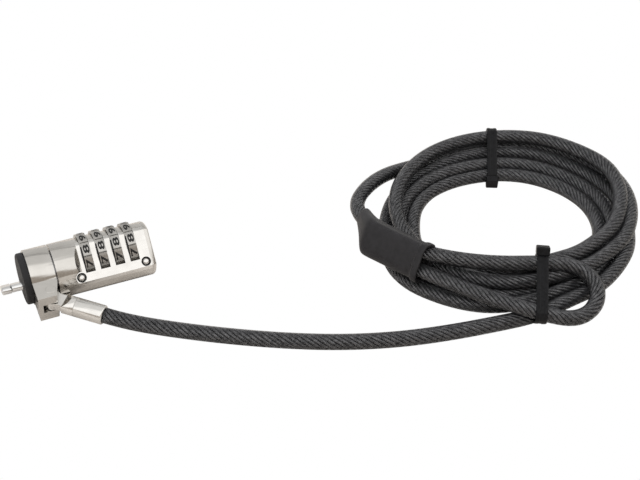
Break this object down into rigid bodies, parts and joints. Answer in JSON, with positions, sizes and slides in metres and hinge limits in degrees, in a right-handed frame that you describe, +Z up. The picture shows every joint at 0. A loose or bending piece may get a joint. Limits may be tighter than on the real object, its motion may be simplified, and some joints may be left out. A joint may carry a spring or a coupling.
{
  "type": "laptop cable lock",
  "caption": "Combination lock barrel with a slot nose, swivel collar and hinged fitting on a coiled steel security cable that ends in a crimped eye loop.",
  "frame": {"origin": "centre of the rubber bumper's seating face, on the barrel's axis", "axes": "+X along the barrel towards its rear end, +Z up, with the cable lying on the floor 10.4 mm below the origin"},
  "size_m": [0.2533, 0.119, 0.0217],
  "materials": {
    "brushed_nickel": "satin brushed nickel plate",
    "bright_plate": "finely brushed bright nickel",
    "polished_steel": "polished steel",
    "dial_nickel": "satin nickel with black filled digits",
    "brass": "plain turned brass",
    "spring_steel": "plain spring steel",
    "bumper_rubber": "matt moulded rubber",
    "cable_jacket": "clear smoke jacket over laid steel strands",
    "sleeve_vinyl": "matt shrunk vinyl",
    "crimp_metal": "pressed aluminium",
    "tie_nylon": "black nylon"
  },
  "bodies": {
    "cable": {"cable_end_fitting": "bright_plate", "crimp_ferrule": "bright_plate", "cable_core_end": "spring_steel", "cable_lead": "cable_jacket", "cable_coil": "cable_jacket", "cable_tail": "cable_jacket", "cable_eye_loop": "cable_jacket", "loop_sleeve": "sleeve_vinyl", "loop_crimp": "crimp_metal", "tie_front": "tie_nylon", "tie_back": "tie_nylon"},
    "collar": {"cable_collar": "brushed_nickel", "hinge_pin": "bright_plate"},
    "barrel": {"barrel_housing": "brushed_nickel", "dial_cover_plate": "bright_plate", "cover_rivets": "bright_plate", "rear_end_cap": "brushed_nickel", "neck_bush": "brass", "nose_bumper": "bumper_rubber", "nose_guide": "polished_steel", "collar_retaining_ring": "spring_steel", "dial_sleeve": "brass", "button_spring": "spring_steel", "detent_spring": "spring_steel"},
    "dial_1": {"dial_wheel_1": "dial_nickel", "tumbler_ring_1": "brass"},
    "dial_2": {"dial_wheel_2": "dial_nickel", "tumbler_ring_2": "brass"},
    "dial_3": {"dial_wheel_3": "dial_nickel", "tumbler_ring_3": "brass"},
    "dial_4": {"dial_wheel_4": "dial_nickel", "tumbler_ring_4": "brass"},
    "release": {"release_shaft": "spring_steel", "drive_arm": "brass", "release_button": "brushed_nickel"},
    "spindle": {"t_bar_spindle": "polished_steel"},
    "reset": {"reset_screw": "brass"}
  },
  "joints": [
    {"name": "fitting_pivot", "type": "hinge", "parent": "cable", "child": "collar", "pos_m": [0.0081, -0.01291, -0.00274], "axis": [0, -0.2079, 0.9781], "range_deg": [-4, 54]},
    {"name": "collar_swivel", "type": "hinge", "parent": "collar", "child": "barrel", "pos_m": [0.007, 0, 0], "axis": [1, 0, 0], "continuous": true},
    {"name": "dial_1_turn", "type": "hinge", "parent": "barrel", "child": "dial_1", "pos_m": [0.02445, 0.00172, 0.00221], "axis": [1, 0, 0], "continuous": true},
    {"name": "dial_2_turn", "type": "hinge", "parent": "barrel", "child": "dial_2", "pos_m": [0.0301, 0.00172, 0.00221], "axis": [1, 0, 0], "continuous": true},
    {"name": "dial_3_turn", "type": "hinge", "parent": "barrel", "child": "dial_3", "pos_m": [0.03575, 0.00172, 0.00221], "axis": [1, 0, 0], "continuous": true},
    {"name": "dial_4_turn", "type": "hinge", "parent": "barrel", "child": "dial_4", "pos_m": [0.0414, 0.00172, 0.00221], "axis": [1, 0, 0], "continuous": true},
    {"name": "release_push", "type": "slide", "parent": "barrel", "child": "release", "axis": [-1, 0, 0], "range_m": [0, 0.002], "stiffness_N_per_m": 300, "springref_m": -0.002, "deforming": ["button_spring"]},
    {"name": "t_bar_turn", "type": "hinge", "parent": "barrel", "child": "spindle", "pos_m": [0, -0.00135, -0.00173], "axis": [1, 0, 0], "range_deg": [0, 90]},
    {"name": "reset_turn", "type": "hinge", "parent": "barrel", "child": "reset", "pos_m": [0.047, -0.00394, -0.00504], "axis": [1, 0, 0], "range_deg": [0, 90]}
  ],
  "couplings": [
    {"joint": "t_bar_turn", "follows": "release_push", "rad_per_m": 785.4}
  ]
}
